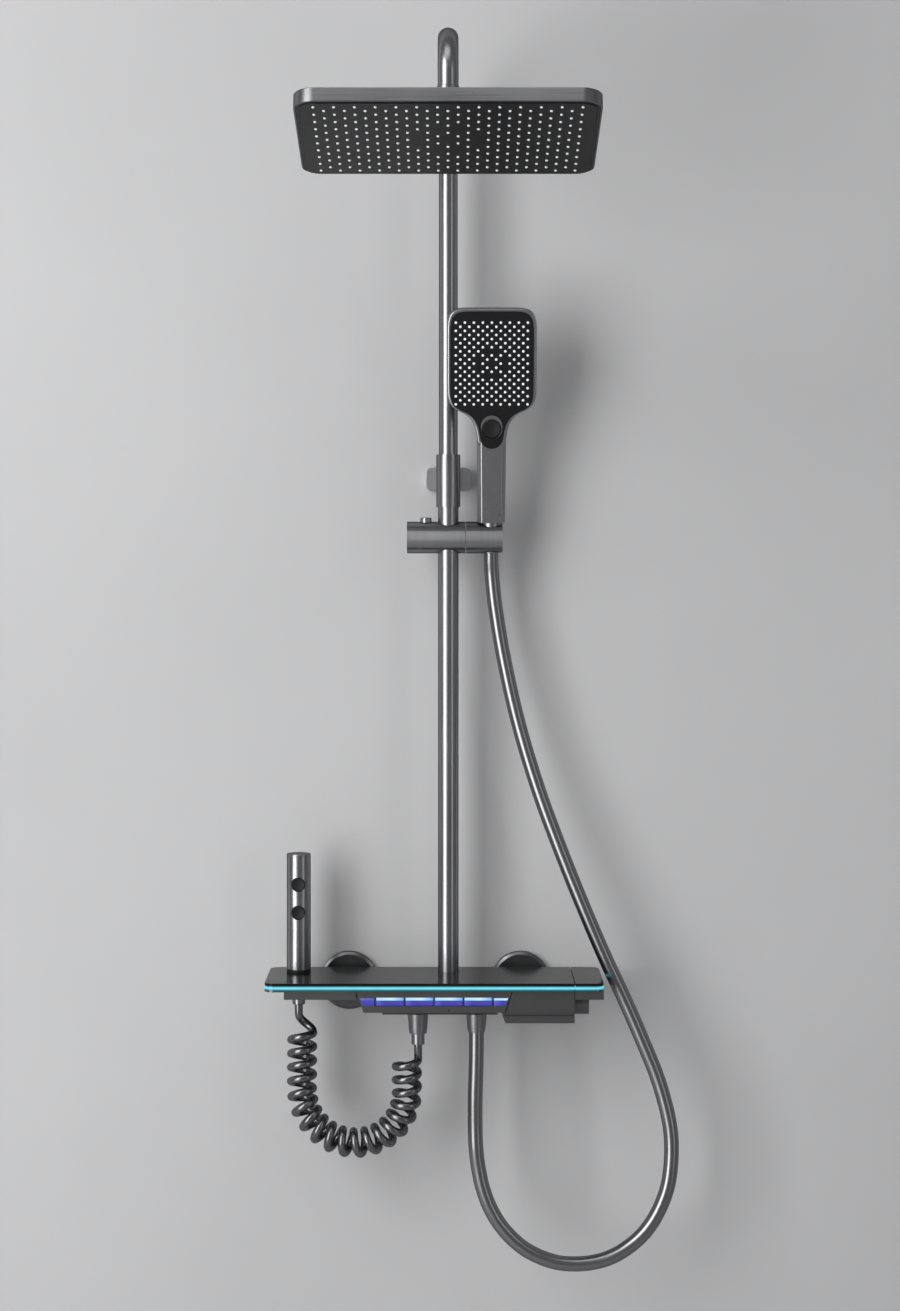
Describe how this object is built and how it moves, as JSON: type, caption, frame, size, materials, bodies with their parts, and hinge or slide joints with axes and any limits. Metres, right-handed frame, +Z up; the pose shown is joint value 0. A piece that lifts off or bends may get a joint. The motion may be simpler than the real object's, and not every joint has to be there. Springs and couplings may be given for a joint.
{
  "type": "shower panel column",
  "caption": "Wall-mounted shower column with a lit shelf mixer, telescopic riser, overhead head, handset on a slider and a wand on a coil hose.",
  "frame": {"origin": "on the wall plane, midway between the centres of the hot and cold wall unions", "axes": "+X to the user's right, +Y into the wall, +Z up"},
  "size_m": [0.474, 0.5031, 1.3815],
  "materials": {
    "gunmetal": "brushed gunmetal",
    "dark_metal": "dark grey satin",
    "black_glass": "black gloss glass",
    "black_face": "black gloss",
    "black_plastic": "black satin",
    "light_guide": "lit cyan",
    "key_light": "lit blue",
    "silicone": "soft white",
    "bearing_plastic": "natural",
    "brass": "cast and turned",
    "steel": "plain",
    "circuit": "circuit board",
    "fibre": "pressed fibre",
    "hose_metal": "smooth gunmetal sheath",
    "hose_black": "satin black"
  },
  "bodies": {
    "column": {"wall_unions": "brass", "wall_flanges": "gunmetal", "union_nuts": "gunmetal", "inlet_washers": "fibre", "bracket_plate": "steel", "bracket_block": "gunmetal", "grub_screws": "steel", "mixer_body": "brass", "under_tray": "dark_metal", "shelf_glass": "black_glass", "shelf_light_guide": "light_guide", "led_board": "circuit", "turbine_unit": "black_plastic", "key_bezel": "dark_metal", "diverter_cartridges": "brass", "spout_block": "dark_metal", "spout_insert": "black_plastic", "thermostat_cartridge": "brass", "wand_socket": "black_plastic", "tray_screws": "steel", "lower_riser": "gunmetal", "lock_sleeve": "gunmetal", "riser_collet": "bearing_plastic", "coil_nut": "gunmetal", "mixer_hose_nut": "gunmetal", "coil_hose": "hose_black", "shower_hose": "hose_metal"},
    "temperature_handle": {"temperature_handle": "dark_metal", "handle_glass": "black_glass", "handle_light_guide": "light_guide"},
    "overhead_key": {"overhead_key": "key_light"},
    "handset_key": {"handset_key": "key_light"},
    "wand_key": {"wand_key": "key_light"},
    "spout_key": {"spout_key": "key_light"},
    "riser_carriage": {"guide_bush": "bearing_plastic", "guide_rings": "silicone"},
    "overhead_arm": {"upper_riser": "gunmetal", "ball_stud": "gunmetal"},
    "ball_seat": {"ball_seat": "bearing_plastic"},
    "head": {"head_shell": "gunmetal", "head_face": "black_face", "head_nozzles": "silicone", "ball_nut": "gunmetal", "head_screws": "steel"},
    "slider": {"slider_body": "gunmetal", "slider_bush": "black_plastic", "slider_spring": "steel", "pivot_screw": "steel"},
    "slider_button": {"slider_button": "gunmetal"},
    "holder": {"handset_holder": "gunmetal"},
    "handset": {"handset_shell": "gunmetal", "handset_face": "black_face", "handset_nozzles": "silicone", "handset_hose_nut": "gunmetal"},
    "mode_button": {"mode_button": "black_plastic"},
    "wand": {"wand_tube": "gunmetal", "wand_cap": "black_plastic", "wand_nut": "gunmetal"},
    "wand_upper_button": {"wand_upper_button": "black_plastic"},
    "wand_lower_button": {"wand_lower_button": "black_plastic"}
  },
  "joints": [
    {"name": "riser_height", "type": "slide", "parent": "column", "child": "riser_carriage", "axis": [0, 0, 1], "range_m": [-0.06, 0.25]},
    {"name": "riser_swivel", "type": "hinge", "parent": "riser_carriage", "child": "overhead_arm", "pos_m": [0.016, -0.062, 0.3], "axis": [0, 0, 1], "range_deg": [-60, 60]},
    {"name": "head_tilt", "type": "hinge", "parent": "overhead_arm", "child": "ball_seat", "pos_m": [0.016, -0.382, 0.96596], "axis": [1, 0, 0], "range_deg": [-9, 29.8]},
    {"name": "head_roll", "type": "hinge", "parent": "ball_seat", "child": "head", "pos_m": [0.016, -0.382, 0.96596], "axis": [0, 1, 0], "range_deg": [-8, 8]},
    {"name": "slider_height", "type": "slide", "parent": "column", "child": "slider", "axis": [0, 0, 1], "range_m": [-0.3, 0.015], "deforming": ["shower_hose"]},
    {"name": "slider_button_press", "type": "slide", "parent": "slider", "child": "slider_button", "axis": [0, 0, -1], "range_m": [0, 0.003], "stiffness_N_per_m": 500, "springref_m": -0.002, "deforming": ["slider_spring"]},
    {"name": "holder_tilt", "type": "hinge", "parent": "slider", "child": "holder", "pos_m": [0.016, -0.062, 0.5245], "axis": [1, 0, 0], "range_deg": [-1, 25]},
    {"name": "handset_lift", "type": "slide", "parent": "holder", "child": "handset", "axis": [0, -0.1736, 0.9848], "range_m": [0, 0.02]},
    {"name": "mode_button_press", "type": "slide", "parent": "handset", "child": "mode_button", "axis": [0, 0.9848, 0.1736], "range_m": [0, 0.002], "stiffness_N_per_m": 500, "springref_m": -0.002},
    {"name": "overhead_key_press", "type": "slide", "parent": "column", "child": "overhead_key", "axis": [0, 1, 0], "range_m": [0, 0.003], "stiffness_N_per_m": 500, "springref_m": -0.002},
    {"name": "handset_key_press", "type": "slide", "parent": "column", "child": "handset_key", "axis": [0, 1, 0], "range_m": [0, 0.003], "stiffness_N_per_m": 500, "springref_m": -0.002},
    {"name": "wand_key_press", "type": "slide", "parent": "column", "child": "wand_key", "axis": [0, 1, 0], "range_m": [0, 0.003], "stiffness_N_per_m": 500, "springref_m": -0.002},
    {"name": "spout_key_press", "type": "slide", "parent": "column", "child": "spout_key", "axis": [0, 1, 0], "range_m": [0, 0.003], "stiffness_N_per_m": 500, "springref_m": -0.002},
    {"name": "temperature_turn", "type": "hinge", "parent": "column", "child": "temperature_handle", "pos_m": [0.168, -0.118, -0.005], "axis": [1, 0, 0], "range_deg": [-30, 6]},
    {"name": "wand_lift", "type": "slide", "parent": "column", "child": "wand", "axis": [0, 0, 1], "range_m": [0, 0.06], "deforming": ["coil_hose"]},
    {"name": "wand_upper_press", "type": "slide", "parent": "wand", "child": "wand_upper_button", "axis": [0, 1, 0], "range_m": [0, 0.0015], "stiffness_N_per_m": 500, "springref_m": -0.002},
    {"name": "wand_lower_press", "type": "slide", "parent": "wand", "child": "wand_lower_button", "axis": [0, 1, 0], "range_m": [0, 0.0015], "stiffness_N_per_m": 500, "springref_m": -0.002}
  ]
}
